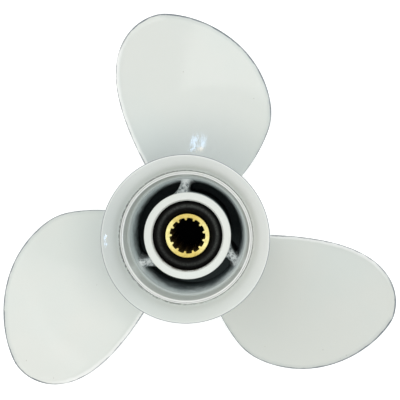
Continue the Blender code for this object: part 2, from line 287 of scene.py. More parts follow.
class Nodes:
    """A material's node tree, with short calls for the nodes that the finishes share."""

    def __init__(self, name):
        self.material = bpy.data.materials.new(name)
        self.material.use_nodes = True
        self.tree = self.material.node_tree
        self.shader = self.tree.nodes["Principled BSDF"]
        self.coordinates = self.tree.nodes.new("ShaderNodeTexCoord").outputs["Object"]

    def link(self, source, target):
        self.tree.links.new(source, target)

    def put(self, value, socket):
        """Sets a socket to a number or a colour, or links it to another node's output."""
        if isinstance(value, tuple):
            socket.default_value = (*value, 1.0)
        elif isinstance(value, (int, float)):
            socket.default_value = value
        else:
            self.link(value, socket)

    def math(self, operation, a, b=0.0, clamp=False):
        node = self.tree.nodes.new("ShaderNodeMath")
        node.operation = operation
        node.use_clamp = clamp
        self.put(a, node.inputs[0])
        self.put(b, node.inputs[1])
        return node.outputs[0]

    def plus(self, a, b):
        return self.math("ADD", a, b)

    def minus(self, a, b):
        return self.math("SUBTRACT", a, b)

    def times(self, a, b):
        return self.math("MULTIPLY", a, b)

    def ramp(self, value, low, high, to_low=0.0, to_high=1.0):
        """to_low where value is low or less, to_high where it is high or more, eased between."""
        node = self.tree.nodes.new("ShaderNodeMapRange")
        node.interpolation_type = "SMOOTHSTEP"
        self.put(value, node.inputs["Value"])
        node.inputs["From Min"].default_value = low
        node.inputs["From Max"].default_value = high
        node.inputs["To Min"].default_value = to_low
        node.inputs["To Max"].default_value = to_high
        return node.outputs["Result"]

    def noise(self, scale, detail=2.0, roughness=0.5):
        node = self.tree.nodes.new("ShaderNodeTexNoise")
        node.inputs["Scale"].default_value = scale
        node.inputs["Detail"].default_value = detail
        node.inputs["Roughness"].default_value = roughness
        self.link(self.coordinates, node.inputs["Vector"])
        return node.outputs["Fac"]

    def cells(self, scale):
        """Distance to the nearest cell centre, in cells, and that cell's own random number."""
        node = self.tree.nodes.new("ShaderNodeTexVoronoi")
        node.inputs["Scale"].default_value = scale
        self.link(self.coordinates, node.inputs["Vector"])
        split = self.tree.nodes.new("ShaderNodeSeparateColor")
        self.link(node.outputs["Color"], split.inputs["Color"])
        return node.outputs["Distance"], split.outputs["Red"]

    def specks(self, scale, size, share):
        """1 inside small round specks that sit in a share of the cells."""
        distance, chance = self.cells(scale)
        inside = self.ramp(distance, size * 0.6, size, 1.0, 0.0)
        return self.times(inside, self.math("LESS_THAN", chance, share))

    def place(self):
        """Radius from the axis, height, and angle round the axis of the shaded point."""
        split = self.tree.nodes.new("ShaderNodeSeparateXYZ")
        self.link(self.coordinates, split.inputs[0])
        x, y, z = split.outputs
        squares = self.plus(self.times(x, x), self.times(y, y))
        return self.math("SQRT", squares), z, self.math("ARCTAN2", y, x)

    def towards(self, angle, direction):
        """1 on the side of the axis that lies in a direction, -1 on the opposite side."""
        return self.math("COSINE", self.minus(angle, direction))

    def attribute(self, name):
        """The named number that the mesh carries per point."""
        node = self.tree.nodes.new("ShaderNodeAttribute")
        node.attribute_name = name
        return node.outputs["Fac"]

    def mix(self, factor, a, b):
        """Colour a where factor is 0, colour b where it is 1."""
        node = self.tree.nodes.new("ShaderNodeMix")
        node.data_type = "RGBA"
        self.put(factor, node.inputs[0])
        self.put(a, node.inputs[6])
        self.put(b, node.inputs[7])
        return node.outputs[2]

    def bump(self, height, strength, distance, normal=None):
        node = self.tree.nodes.new("ShaderNodeBump")
        node.inputs["Strength"].default_value = strength
        node.inputs["Distance"].default_value = distance
        self.link(height, node.inputs["Height"])
        if normal is not None:
            self.link(normal, node.inputs["Normal"])
        return node.outputs["Normal"]

    def set(self, **values):
        """Sets the shader's own sockets, each named with _ for a space."""
        for name, value in values.items():
            self.put(value, self.shader.inputs[name.replace("_", " ")])


PAINT_COLOUR = (0.762, 0.800, 0.765)
PAINT_COLOUR_WARM = (0.790, 0.808, 0.765)
# A lighter tone, used as a painted highlight on lit edges and faces.
PAINT_HIGHLIGHT = (0.95, 0.96, 0.94)
# A dark bluish tone, used as a painted line of shade and dark reflection on the very edges.
PAINT_EDGE_SHADE = (0.10, 0.125, 0.16)
PAINT_SHADED = (0.50, 0.55, 0.55)
SPECK_BROWN = (0.22, 0.17, 0.12)
BLADE_SHADE_SIDE = math.radians(125)
# Sides of the flare with painted light and painted shade.
FLARE_LIT_SIDE = math.radians(65)
FLARE_SHADE_SIDE = math.radians(185)
SEAM_DARK = (0.16, 0.17, 0.17)
WEAR_BROWN = (0.34, 0.24, 0.15)
STAIN_BROWN = (0.16, 0.12, 0.08)
BORE_STAIN_SIDE = math.radians(-100)

# Dark primer, also painted shade deep in the passage, and its lighter tone as painted light.
PRIMER_AND_SHADE = (0.048, 0.068, 0.076)
PRIMER_LIT = (0.125, 0.155, 0.165)
OVERSPRAY = (0.80, 0.87, 0.87)
# Thick overspray, also used as a painted highlight on the ribs.
OVERSPRAY_AND_HIGHLIGHT = (0.93, 0.96, 0.96)
OVERSPRAY_DROP = (0.76, 0.78, 0.77)
LEDGE_GREY = (0.56, 0.61, 0.60)
# Sides of the passage with painted light.
PASSAGE_LIT_SIDE = math.radians(140)
PRIMER_LIT_SIDE = math.radians(290)

CAST_PIT = (0.13, 0.16, 0.17)
CAST_CREST = (0.72, 0.75, 0.75)
# Primer and painted shade deep in the passage.
CAST_DEEP = (0.014, 0.018, 0.021)

RUBBER_BLACK = (0.004, 0.004, 0.004)
RUBBER_DUSTY = (0.012, 0.012, 0.011)
# Grey of dust and a painted highlight along the crest.
RUBBER_CREST_DUST_AND_SHEEN = (0.062, 0.066, 0.062)
RUBBER_STAIN = (0.036, 0.028, 0.020)
# Side where the crest's painted highlight is brightest.
CREST_LIT_SIDE = math.radians(46)

BRASS = (0.66, 0.52, 0.15)
# Brass as a painted reflection of its shine.
BRASS_SHINE = (0.88, 0.80, 0.36)
BRASS_TARNISH = (0.42, 0.31, 0.07)
BRASS_PIT = (0.42, 0.30, 0.09)
BRASS_BORE = (0.30, 0.21, 0.08)


def start_paint(name):
    """Sprayed gloss paint with faint clouding, fine orange peel and a few dust specks."""
    nodes = Nodes(name)
    clouds = nodes.noise(14.0, 3.0)
    colour = nodes.mix(nodes.ramp(clouds, 0.35, 0.65), PAINT_COLOUR, PAINT_COLOUR_WARM)
    dust = nodes.specks(260.0, 0.10, 0.032)
    colour = nodes.mix(nodes.times(dust, 0.45), colour, SPECK_BROWN)
    waves = nodes.noise(820.0, 1.0, 0.4)
    normal = nodes.bump(waves, 0.12, 0.0003)
    fine = nodes.noise(2600.0, 1.0, 0.5)
    normal = nodes.bump(fine, 0.04, 0.0001, normal)
    return nodes, colour, normal


def finish_paint(nodes, colour, normal):
    """The paint's gloss: a satin base under a smooth clear coat that follows the same bumps."""
    nodes.link(normal, nodes.shader.inputs["Coat Normal"])
    nodes.set(
        Base_Color=colour,
        Roughness=nodes.ramp(nodes.noise(90.0, 2.0), 0.3, 0.7, 0.42, 0.5),
        Normal=normal,
        Coat_Weight=0.7,
        Coat_Roughness=0.03,
        Coat_IOR=1.5,
    )
    return nodes.material


def blade_paint():
    """The paint of the blades, with painted highlight and painted shade.

    A painted highlight runs along the trailing edge and a dark line of painted shade along the very
    edges. Painted shade also greys it along the leading edge, and near the hub on one side.
    """
    nodes, colour, normal = start_paint("blade_paint")
    radius, _, angle = nodes.place()
    # Painted shade near the hub, on one side of the axis.
    from_side = nodes.math("ABSOLUTE", nodes.minus(angle, BLADE_SHADE_SIDE))
    from_side = nodes.math("MINIMUM", from_side, nodes.minus(2 * math.pi, from_side))
    on_shade_side = nodes.ramp(from_side, 1.25, 1.85, 1.0, 0.0)
    near_hub = nodes.ramp(radius, 0.050, 0.092, 1.0, 0.0)
    shade = nodes.times(on_shade_side, near_hub)
    colour = nodes.mix(nodes.times(shade, 0.52), colour, PAINT_SHADED)
    ragged = nodes.ramp(nodes.noise(160.0, 3.0), 0.3, 0.7, -0.0002, 0.0002)
    to_leading = nodes.plus(nodes.attribute("to_leading"), ragged)
    to_trailing = nodes.plus(nodes.attribute("to_trailing"), ragged)
    below_tip = nodes.ramp(radius, 0.122, 0.140, 1.0, 0.0)
    # Painted highlight along the trailing edge, short of the tip.
    trailing_highlight = nodes.ramp(to_trailing, 0.0012, 0.0032, 0.85, 0.0)
    colour = nodes.mix(nodes.times(trailing_highlight, below_tip), colour, PAINT_HIGHLIGHT)
    # Painted shade in a band along the leading edge.
    leading_shade = nodes.ramp(to_leading, 0.0014, 0.0040, 0.3, 0.0)
    leading_shade = nodes.times(leading_shade, nodes.ramp(radius, 0.052, 0.065))
    colour = nodes.mix(leading_shade, colour, PAINT_SHADED)
    # A dark line of painted shade on the very edges, wider near the tip.
    tip_line = nodes.ramp(to_trailing, 0.0004, 0.0011, 1.0, 0.0)
    tip_line = nodes.times(tip_line, nodes.minus(1.0, below_tip))
    edge_shade = nodes.math(
        "MAXIMUM",
        nodes.ramp(to_leading, 0.0006, 0.0014, 1.0, 0.0),
        nodes.math("MAXIMUM", tip_line, nodes.ramp(to_trailing, 0.0001, 0.0005, 0.8, 0.0)),
    )
    off_hub = nodes.ramp(radius, 0.0480, 0.0560, 0.0, 0.94)
    colour = nodes.mix(nodes.times(edge_shade, off_hub), colour, PAINT_EDGE_SHADE)
    return finish_paint(nodes, colour, normal)


def ring_paint():
    """The paint of the flare: painted light on one side, painted shade on the other, and a dark
    line of painted shade on the very rim.

    A dotted dark line of dirt runs along the seam with the barrel, darker on the shaded side as
    painted shade.
    """
    nodes, colour, normal = start_paint("ring_paint")
    radius, _, angle = nodes.place()
    # Painted light: the flare's outer part is lighter towards one side.
    uneven = nodes.plus(nodes.times(nodes.towards(angle, FLARE_LIT_SIDE), 0.32), 0.36)
    pale_share = nodes.math("MULTIPLY", nodes.ramp(radius, 0.0434, 0.0470), uneven, clamp=True)
    colour = nodes.mix(pale_share, colour, PAINT_HIGHLIGHT)
    # Painted shade on the opposite side.
    flare_shade_side = nodes.towards(angle, FLARE_SHADE_SIDE)
    colour = nodes.mix(nodes.ramp(flare_shade_side, 0.55, 1.0, 0.0, 0.30), colour, PAINT_SHADED)
    dots = nodes.ramp(nodes.noise(520.0, 3.0, 0.7), 0.40, 0.60)
    seam = nodes.times(dots, nodes.ramp(radius, 0.04255, 0.04285, 1.0, 0.0))
    # The seam's dirt is darker on the shaded side, as painted shade.
    seam = nodes.times(seam, nodes.ramp(flare_shade_side, -0.6, 0.8, 0.25, 0.85))
    colour = nodes.mix(seam, colour, SEAM_DARK)
    # A dark line of painted shade on the rim's edge.
    rim = nodes.ramp(radius, RIM_OUTER_RADIUS - RIM_EDGE_RADIUS, RIM_OUTER_RADIUS - 0.0002)
    colour = nodes.mix(nodes.times(rim, 0.82), colour, PAINT_EDGE_SHADE)
    return finish_paint(nodes, colour, normal)


def barrel_paint():
    """The paint of the outer barrel, with a painted highlight on its lip."""
    nodes, colour, normal = start_paint("barrel_paint")
    _, height, _ = nodes.place()
    # Painted highlight on the lip.
    lip = nodes.ramp(height, LIP_Z - 0.0012, LIP_Z - 0.0006)
    colour = nodes.mix(lip, colour, PAINT_HIGHLIGHT)
    return finish_paint(nodes, colour, normal)


def hub_face_paint():
    """The paint of the hub's face, painted a little lighter as a painted highlight, with brown
    specks of wear and a brown stain low in its bore.
    """
    nodes, colour, normal = start_paint("hub_face_paint")
    # Painted highlight: the whole piece is a little lighter than the other paint.
    colour = nodes.mix(0.18, colour, PAINT_HIGHLIGHT)
    radius, height, angle = nodes.place()
    on_face = nodes.ramp(height, INNER_AFT_Z - 0.0008, INNER_AFT_Z - 0.0002)
    worn = nodes.times(nodes.specks(420.0, 0.14, 0.06), on_face)
    colour = nodes.mix(nodes.times(worn, 0.55), colour, WEAR_BROWN)
    from_bottom = nodes.math("ABSOLUTE", nodes.minus(angle, BORE_STAIN_SIDE))
    bottom = nodes.ramp(from_bottom, 0.5, 1.5, 1.0, 0.0)
    streaks = nodes.ramp(nodes.noise(240.0, 4.0, 0.7), 0.40, 0.62)
    in_bore = nodes.ramp(radius, BUSH_BORE + 0.00012, BUSH_BORE + 0.0007, 1.0, 0.0)
    low = nodes.ramp(height, 0.0745, 0.0762, 1.0, 0.0)
    stain = nodes.times(in_bore, nodes.math("MAXIMUM", low, streaks))
    stain = nodes.times(stain, bottom)
    colour = nodes.mix(nodes.times(stain, 0.8), colour, STAIN_BROWN)
    return finish_paint(nodes, colour, normal)


def passage_paint():
    """Overspray that thins out down the exhaust passage over dark primer, with drops of paint; the
    dark primer also stands as painted shade deep in the passage.

    As painted light the overspray reaches deeper on one side and the primer is lighter on another.
    It is thick beside the ribs and greyer on the throat's ledge.
    """
    nodes = Nodes("passage_paint")
    _, height, angle = nodes.place()
    cloud = nodes.ramp(nodes.noise(110.0, 4.0, 0.65), 0.3, 0.7, -0.004, 0.004)
    # Painted light: the overspray reaches deeper on one side.
    uneven = nodes.plus(cloud, nodes.times(nodes.towards(angle, PASSAGE_LIT_SIDE), 0.0042))
    pale_share = nodes.ramp(nodes.plus(height, uneven), 0.0550, 0.0778)
    # Painted light: the primer is lighter on another side.
    primer_lit_share = nodes.ramp(nodes.towards(angle, PRIMER_LIT_SIDE), 0.2, 0.95)
    colour = nodes.mix(pale_share, nodes.mix(primer_lit_share, PRIMER_AND_SHADE, PRIMER_LIT), OVERSPRAY)
    turns = nodes.times(nodes.minus(angle, BLADE_PHASE), BLADE_COUNT)
    by_rib = nodes.ramp(nodes.math("COSINE", turns), 0.90, 0.99)
    by_rib = nodes.times(by_rib, nodes.ramp(height, 0.066, 0.073, 0.0, 0.7))
    colour = nodes.mix(by_rib, colour, OVERSPRAY_AND_HIGHLIGHT)
    ledge = nodes.ramp(height, THROAT_Z - 0.0018, THROAT_Z - 0.0010)
    colour = nodes.mix(ledge, colour, LEDGE_GREY)
    drops = nodes.specks(330.0, 0.13, 0.10)
    reach = nodes.ramp(height, 0.030, 0.062)
    colour = nodes.mix(nodes.times(drops, reach), colour, OVERSPRAY_DROP)
    grain = nodes.noise(900.0, 4.0, 0.6)
    normal = nodes.bump(grain, 0.35, 0.0003)
    nodes.set(
        Base_Color=colour,
        Roughness=nodes.ramp(grain, 0.3, 0.7, 0.42, 0.62),
        Normal=normal,
    )
    return nodes.material


def rough_casting():
    """As-cast aluminium with uneven overspray: pale crests, dark pits. It is dark down the passage,
    as primer and painted shade, and its outer part is painted lighter as a painted highlight, most
    on the top rib.
    """
    nodes = Nodes("rough_casting")
    radius, height, angle = nodes.place()
    lumps = nodes.noise(420.0, 5.0, 0.7)
    pits = nodes.noise(1300.0, 3.0, 0.6)
    relief = nodes.plus(lumps, nodes.times(pits, 0.4))
    pale = nodes.ramp(relief, 0.54, 0.80)
    colour = nodes.mix(pale, CAST_PIT, CAST_CREST)
    # Darker down the passage: primer and painted shade.
    fade = nodes.ramp(height, 0.034, 0.068)
    colour = nodes.mix(fade, CAST_DEEP, colour)
    # Painted highlight on the ribs' outer part near the aft end, strongest on the top rib.
    head = nodes.times(nodes.ramp(radius, 0.0325, 0.0355, 0.0, 0.75), fade)
    head = nodes.times(head, nodes.ramp(nodes.math("SINE", angle), -0.3, 0.9, 0.2, 1.0))
    colour = nodes.mix(head, colour, OVERSPRAY_AND_HIGHLIGHT)
    normal = nodes.bump(relief, 0.6, 0.0006)
    nodes.set(
        Base_Color=colour,
        Roughness=nodes.ramp(lumps, 0.3, 0.7, 0.38, 0.6),
        Normal=normal,
        Coat_Weight=0.25,
        Coat_Roughness=0.25,
    )
    return nodes.material


def bush_rubber():
    """Matt black rubber with a fine moulded grain, grey along its crest with dust and a painted
    highlight, brighter and further out on one side as painted light.
    """
    nodes = Nodes("bush_rubber")
    radius, _, angle = nodes.place()
    dust = nodes.ramp(nodes.noise(300.0, 4.0, 0.65), 0.4, 0.75)
    # Painted highlight along the crest, brighter and further out towards one side.
    side = nodes.towards(angle, CREST_LIT_SIDE)
    sheen_radius = nodes.plus(nodes.times(side, 0.0004), BUSH_CREST_RADIUS + 0.0002)
    off_crest = nodes.math("ABSOLUTE", nodes.minus(radius, sheen_radius))
    crest = nodes.ramp(off_crest, 0.0, 0.0019, 1.0, 0.0)
    crest = nodes.times(crest, nodes.ramp(side, -1.0, 1.0, 0.5, 1.0))
    crest = nodes.times(crest, nodes.ramp(nodes.noise(1400.0, 2.0), 0.35, 0.65, 0.45, 1.0))
    colour = nodes.mix(nodes.times(dust, 0.5), RUBBER_BLACK, RUBBER_DUSTY)
    colour = nodes.mix(crest, colour, RUBBER_CREST_DUST_AND_SHEEN)
    rim_stain = nodes.times(nodes.ramp(radius, 0.0215, 0.0221), dust)
    colour = nodes.mix(nodes.times(rim_stain, 0.4), colour, RUBBER_STAIN)
    grain = nodes.noise(1800.0, 3.0, 0.6)
    nodes.set(
        Base_Color=colour,
        Roughness=nodes.ramp(grain, 0.3, 0.7, 0.42, 0.56),
        Normal=nodes.bump(grain, 0.25, 0.00015),
        Specular_IOR_Level=0.05,
    )
    return nodes.material


def sleeve_brass():
    """Turned brass: fine rings on the end face, tarnish and pits, and darker splines down the bore.

    Turned metal shines in two opposite fans, so two opposite sides are painted brighter as a
    painted reflection.
    """
    nodes = Nodes("sleeve_brass")
    radius, height, angle = nodes.place()
    # Painted reflection: two opposite sides are brighter.
    sweep = nodes.math("COSINE", nodes.times(angle, 2.0))
    colour = nodes.mix(nodes.ramp(sweep, -0.9, 0.9), BRASS, BRASS_SHINE)
    tarnish = nodes.ramp(nodes.noise(330.0, 4.0, 0.6), 0.35, 0.7, 0.0, 0.35)
    colour = nodes.mix(tarnish, colour, BRASS_TARNISH)
    pits = nodes.specks(1500.0, 0.22, 0.10)
    colour = nodes.mix(nodes.times(pits, 0.5), colour, BRASS_PIT)
    down = nodes.ramp(height, 0.0735, 0.0764, 1.0, 0.0)
    colour = nodes.mix(down, colour, BRASS_BORE)
    rings = nodes.math("SINE", nodes.times(radius, 22000.0))
    wobble = nodes.noise(700.0, 3.0)
    relief = nodes.plus(nodes.times(rings, 0.4), wobble)
    nodes.set(
        Base_Color=colour,
        Metallic=0.85,
        Roughness=nodes.ramp(wobble, 0.3, 0.7, 0.34, 0.50),
        Normal=nodes.bump(relief, 0.25, 0.00008),
    )
    return nodes.material


# Turned pieces


def barrel_bore(z):
    """Radius of the outer barrel's wall up to its throat: two cones that meet at the waist."""
    if z < WAIST_Z:
        return FRONT_BORE + (WAIST_RADIUS - FRONT_BORE) * z / WAIST_Z
    share = (z - WAIST_Z) / (THROAT_Z - WAIST_Z)
    return WAIST_RADIUS + (THROAT_RADIUS - WAIST_RADIUS) * share


def hub_radius(z):
    """Radius of the inner barrel's outer wall, a slight cone."""
    share = (z - INNER_FRONT_Z) / (INNER_AFT_Z - INNER_FRONT_Z)
    return INNER_FRONT_RADIUS + (INNER_AFT_RADIUS - INNER_FRONT_RADIUS) * share


def make_barrel(paint, passage):
    """The outer barrel, with a half-round lip, a ledge at its throat and a waisted bore."""
    lip_radius = RING_BORE - SEAM_GAP
    lip_round = (lip_radius - LIP_BORE) / 2 * 0.98
    shoulder_z = SPIGOT_Z - 0.0003
    passage_top = THROAT_Z + 0.0004
    passage_edge = 0.0392
    corners = [
        (FRONT_BORE, 0.0, 0.0006),
        (BARREL_RADIUS, 0.0, 0.0010),
        (BARREL_RADIUS, shoulder_z, 0.0003),
        (lip_radius, shoulder_z, 0.00005),
        (lip_radius, LIP_Z, lip_round),
        (LIP_BORE, LIP_Z, lip_round),
        (THROAT_RADIUS + 0.0006, THROAT_Z + 0.0003, 0.0003),
        (THROAT_RADIUS - 0.0005, THROAT_Z - 0.0004, 0.0012),
        (WAIST_RADIUS, WAIST_Z, 0.0300),
    ]
    return turned(
        "barrel_body",
        rounded(corners, 8),
        [paint, passage],
        lambda r, z: 1 if z < passage_top and r < passage_edge else 0,
    )


def make_ring(paint):
    """The diffuser ring: a cylinder on the spigot that bows out into a flare with a rounded rim."""
    rim_centre = (RIM_OUTER_RADIUS - RIM_EDGE_RADIUS, RIM_Z - RIM_EDGE_RADIUS)
    rim_start, rim_turn, rim_steps = math.radians(128), math.radians(166), 12
    rim = []
    for i in range(rim_steps + 1):
        angle = rim_start - rim_turn * i / rim_steps
        rim.append(
            (
                rim_centre[0] + RIM_EDGE_RADIUS * math.cos(angle),
                rim_centre[1] + RIM_EDGE_RADIUS * math.sin(angle),
            )
        )
    inner_flare = bowed(FLARE_START, rim[0], FLARE_BOW, 28)
    outer_flare = bowed(rim[-1], (BARREL_RADIUS, FLARE_FOOT_Z), -FLARE_BOW, 24)
    foot = rounded(
        [
            (BARREL_RADIUS, FLARE_FOOT_Z - 0.0002, 0),
            (BARREL_RADIUS, SPIGOT_Z, 0.0003),
            (RING_BORE, SPIGOT_Z, 0.0002),
            (RING_BORE, SEAM_Z - 0.0002, 0),
            (RING_BORE + 0.00005, SEAM_Z + 0.0001, 0),
        ],
        4,
    )
    return turned("diffuser_flare", foot + inner_flare + rim[1:] + outer_flare[1:], [paint])


def make_hub(face_paint, passage):
    """The inner barrel, with a chamfer into the bush's bore and a recess at the front end."""
    chamfer_width, chamfer_depth = 0.0009, 0.0015
    corners = [
        (RECESS_BORE, INNER_FRONT_Z, 0.0005),
        (INNER_FRONT_RADIUS, INNER_FRONT_Z, 0.0006),
        (INNER_AFT_RADIUS, INNER_AFT_Z, 0.0004),
        (BUSH_BORE + chamfer_width, INNER_AFT_Z, 0.0004),
        (BUSH_BORE, INNER_AFT_Z - chamfer_depth, 0.0004),
        (BUSH_BORE, RECESS_Z, 0.0003),
        (RECESS_BORE, RECESS_Z - 0.0010, 0.0003),
    ]
    return turned(
        "hub_body",
        rounded(corners, 6),
        [face_paint, passage],
        lambda r, z: 1 if r > INNER_FRONT_RADIUS - 0.0006 and z < INNER_AFT_Z - 0.0005 else 0,
    )


def make_bush(rubber):
    """The bush, its aft end rolled: a narrow crest with a dark trough on each side."""
    inner = SLEEVE_RADIUS + BUSH_GAP
    outer = BUSH_BORE - BUSH_GAP
    steps = 40
    rolled = []
    for i in range(steps + 1):
        radius = inner + (outer - inner) * i / steps
        from_crest = radius - BUSH_CREST_RADIUS
        if from_crest < 0:
            share = -from_crest / (BUSH_CREST_RADIUS - inner)
            drop = BUSH_INNER_DROP * share**2
        else:
            share = from_crest / (outer - BUSH_CREST_RADIUS)
            drop = BUSH_OUTER_DROP * share**2
        rolled.append((radius, BUSH_CREST_Z - drop))
    rolled[0] = (inner, rolled[0][1] - 0.0004)
    front = rounded(
        [
            (outer, BUSH_CREST_Z - 0.0060, 0),
            (outer, BUSH_FRONT_Z, BUSH_END_RADIUS),
            (inner, BUSH_FRONT_Z, BUSH_END_RADIUS),
            (inner, BUSH_CREST_Z - 0.0040, 0),
        ],
        6,
    )
    return turned("bush_body", rolled + front, [rubber])


# Splined sleeve


def spline_outline(grow):
    """The bore's outline: narrow teeth with rounded tips between wide grooves, grown outwards."""
    tooth = 2 * math.pi / SPLINE_COUNT
    half_groove, half_tip = 0.315 * tooth, 0.115 * tooth
    tip_crown = 0.00002
    points = []
    for index in range(SPLINE_COUNT):
        centre = SPLINE_PHASE + index * tooth
        for share in (-1.0, -0.6, -0.2, 0.2, 0.6, 1.0):
            points.append((SPLINE_ROOT, centre + half_groove * share * 0.93))
        points.append((SPLINE_ROOT - SPLINE_ROOT_FILLET, centre + half_groove))
        tip = centre + tooth / 2
        points.append((SPLINE_TIP + SPLINE_TIP_BEVEL, tip - half_tip))
        points.append((SPLINE_TIP + tip_crown, tip - half_tip * 0.6))
        points.append((SPLINE_TIP, tip))
        points.append((SPLINE_TIP + tip_crown, tip + half_tip * 0.6))
        points.append((SPLINE_TIP + SPLINE_TIP_BEVEL, tip + half_tip))
        points.append((SPLINE_ROOT - SPLINE_ROOT_FILLET, centre + tooth - half_groove))
    flat = np.array([(r * math.cos(a), r * math.sin(a)) for r, a in points])
    along = np.roll(flat, -1, 0) - np.roll(flat, 1, 0)
    along /= np.linalg.norm(along, axis=1)[:, None]
    outwards = np.stack([along[:, 1], -along[:, 0]], 1)
    return flat + outwards * grow


def make_sleeve(brass):
    """The sleeve, its bore's outline joined point by point to circles, with broken edges."""
    bore = spline_outline(0.0)
    mouth = spline_outline(0.00022)
    angles = np.arctan2(bore[:, 1], bore[:, 0])

    def circle(radius, z):
        return [(radius * math.cos(a), radius * math.sin(a), z) for a in angles]

    def splines(outline, z):
        return [(x, y, z) for x, y in outline]

    edge = SLEEVE_EDGE
    layers = [
        splines(mouth, SLEEVE_FRONT_Z),
        circle(SLEEVE_RADIUS - edge, SLEEVE_FRONT_Z),
        circle(SLEEVE_RADIUS - edge * 0.3, SLEEVE_FRONT_Z + edge * 0.3),
        circle(SLEEVE_RADIUS, SLEEVE_FRONT_Z + edge),
        circle(SLEEVE_RADIUS, SLEEVE_AFT_Z - edge),
        circle(SLEEVE_RADIUS - edge * 0.3, SLEEVE_AFT_Z - edge * 0.3),
        circle(SLEEVE_RADIUS - edge, SLEEVE_AFT_Z),
        circle(SLEEVE_RADIUS - 2 * edge, SLEEVE_AFT_Z),
        splines(spline_outline(0.00030), SLEEVE_AFT_Z),
        splines(mouth, SLEEVE_AFT_Z - 0.00002),
        splines(spline_outline(0.00008), SLEEVE_AFT_Z - 0.00012),
        splines(bore, SLEEVE_AFT_Z - 0.00030),
        splines(bore, SLEEVE_AFT_Z - 0.00060),
        splines(bore, SLEEVE_FRONT_Z + 0.0004),
    ]
    points = [p for layer in layers for p in layer]
    faces = bands(len(layers), len(bore), True)
    obj = mesh_object("sleeve_body", points, faces, [brass])
    obj.data.set_sharp_from_angle(angle=math.radians(40))
    return obj


# Ribs


def make_rib(index, casting):
    """A leaning rib with fillets into both barrels, rounded ends and the lumps of rough casting.

    Its foot is wider on one side.
    """
    base_angle = BLADE_PHASE + 2 * math.pi * index / BLADE_COUNT
    end_round = RIB_THICKNESS / 2 * 0.9
    end_steps, straight_steps, radial_steps = 8, 60, 28
    rise = [end_round * (1 - math.cos(math.pi / 2 * k / end_steps)) for k in range(end_steps + 1)]
    straight = RIB_AFT_Z - RIB_FRONT_Z - 2 * end_round
    side = Vector((-math.sin(base_angle), math.cos(base_angle), 0.0))
    heights = [RIB_FRONT_Z + step for step in rise]
    for k in range(1, straight_steps):
        heights.append(RIB_FRONT_Z + end_round + straight * k / straight_steps)
    heights += [RIB_AFT_Z - step for step in rise[::-1]]
    rings = []
    for step in range(radial_steps + 1):
        share = step / radial_steps
        eased = 0.5 - 0.5 * math.cos(math.pi * share)
        centre = base_angle + RIB_LEAN * (0.5 - share)
        near, far = [], []
        for z in heights:
            foot = hub_radius(z)
            head = barrel_bore(z)
            radius = foot - RIB_OVERLAP + (head - foot + 2 * RIB_OVERLAP) * eased
            to_foot = fillet_growth(radius - foot, RIB_FILLET)
            to_head = fillet_growth(head - radius, RIB_FILLET)
            to_end = min(z - RIB_FRONT_Z, RIB_AFT_Z - z)
            rounding = 1.0
            if to_end < end_round:
                rounding = math.sqrt(max(1 - (1 - to_end / end_round) ** 2, 0.0))
            half = (RIB_THICKNESS / 2) * rounding + (to_foot + to_head) * (0.35 + 0.65 * rounding)
            wide_foot = RIB_FOOT * max(1 - (radius - foot) / RIB_FOOT_REACH, 0.0) ** 1.5
            near.append((radius, centre - half / radius, z))
            far.append((radius, centre + (half + wide_foot * rounding) / radius, z))
        loop = near + far[::-1]
        ring = []
        for r, a, z in loop:
            p = Vector((r * math.cos(a), r * math.sin(a), z))
            lump = sum(noise.noise(p * scale) * height for scale, height in RIB_LUMPS)
            push = side * (1 if a > centre else -1)
            ring.append(tuple(p + push * lump + Vector((0, 0, lump * 0.6))))
        rings.append(ring)
    return loft(f"rib_casting_{index + 1}", rings, [casting])


# Blades


def outline_angles(radius):
    """Angles of a blade's leading and trailing edges at a radius, measured from its middle."""
    share = np.minimum(radius / PROP_RADIUS, 1.0)
    inner_power, outer_power = HALF_SPAN_POWERS
    half = HALF_SPAN * np.maximum(1 - share**inner_power, 0.0) ** outer_power
    middle = SKEW_ROOT + SKEW_CHANGE * share**SKEW_POWER
    shoulder = SHOULDER_ANGLE * np.exp(-(((radius - SHOULDER_RADIUS) / SHOULDER_WIDTH) ** 2))
    return middle - half - shoulder, middle + half


def edge_polyline(side):
    """Points (r, angle) along the leading (0) or trailing (1) edge, close together at the tip."""
    share = np.sin(np.linspace(0, math.pi / 2, 420))
    first = 0.040
    radii = first + (PROP_RADIUS - first) * share
    return np.stack([radii, outline_angles(radii)[side]], 1)


def distance_to(polyline, radius, angles, slope):
    """Distance along the blade's face from points at one radius to an edge's line."""
    start = polyline[:-1]
    end = polyline[1:]
    scale = np.array([1.0, slope])
    a = start * scale
    d = (end - start) * scale
    p = np.stack([np.full_like(angles, radius), angles], 1) * scale
    relative = p[:, None, :] - a[None, :, :]
    along = np.clip((relative * d).sum(2) / (d * d).sum(1), 0, 1)
    gap = relative - along[:, :, None] * d[None, :, :]
    return np.sqrt((gap**2).sum(2)).min(1)


def section_thickness(radius):
    """Greatest thickness of a blade's section, from thick at the hub to thin at the tip."""
    share = (PROP_RADIUS - radius) / (PROP_RADIUS - BARREL_RADIUS)
    return TIP_THICKNESS + (ROOT_THICKNESS - TIP_THICKNESS) * max(share, 0.0) ** THICKNESS_POWER


def chord_points(radius, start, end):
    """Distances along a section from its leading edge, close together at its two rounded noses."""
    slope = math.hypot(radius, LEAD)
    chord = (end - start) * slope
    step = 1e-5
    inner_start, inner_end = outline_angles(radius - step)
    noses = []
    for here, inner, reach in (
        (start, inner_start, EDGE_RADIUS),
        (end, inner_end, EDGE_RADIUS * TRAILING_ROUND),
    ):
        change = (here - float(inner)) / step
        noses.append(min(reach * math.hypot(1, slope * change), 0.42 * chord))
    bend = np.linspace(0, math.pi / 2, 9)
    leading = noses[0] * (1 - np.cos(bend))
    trailing = chord - noses[1] * (1 - np.cos(bend))[::-1]
    turn = np.linspace(0, 2 * math.pi, 47)[1:-1]
    share = (turn - 0.35 * np.sin(turn)) / (2 * math.pi)
    middle = leading[-1] + (trailing[0] - leading[-1]) * share
    return np.concatenate([leading, middle, trailing])


